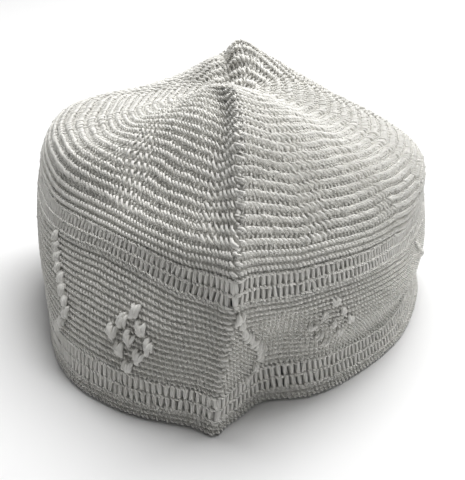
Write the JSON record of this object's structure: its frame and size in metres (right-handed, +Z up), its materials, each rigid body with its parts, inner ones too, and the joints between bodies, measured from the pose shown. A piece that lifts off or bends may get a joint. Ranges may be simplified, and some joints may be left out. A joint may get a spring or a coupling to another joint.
{
  "type": "crochet kufi cap",
  "caption": "Brimless crochet kufi cap of white cotton: ridged crown, plain side band between openwork bands, narrow rim; hollow and open below, creased from being folded.",
  "frame": {"origin": "centre of the cap's bounding box in plan, on the plane that its rim stands on", "axes": "+Z up from the rim to the crown, -Y to the front, where the upright crease and the nose are, +X to the right as seen from the front"},
  "size_m": [0.1926, 0.183, 0.1224],
  "materials": {
    "cotton_yarn": "dull white cotton yarn, crocheted"
  },
  "bodies": {
    "root": {"crown": "cotton_yarn", "upper_openwork": "cotton_yarn", "side_band": "cotton_yarn", "lower_openwork": "cotton_yarn", "rim_edge": "cotton_yarn"}
  },
  "joints": []
}
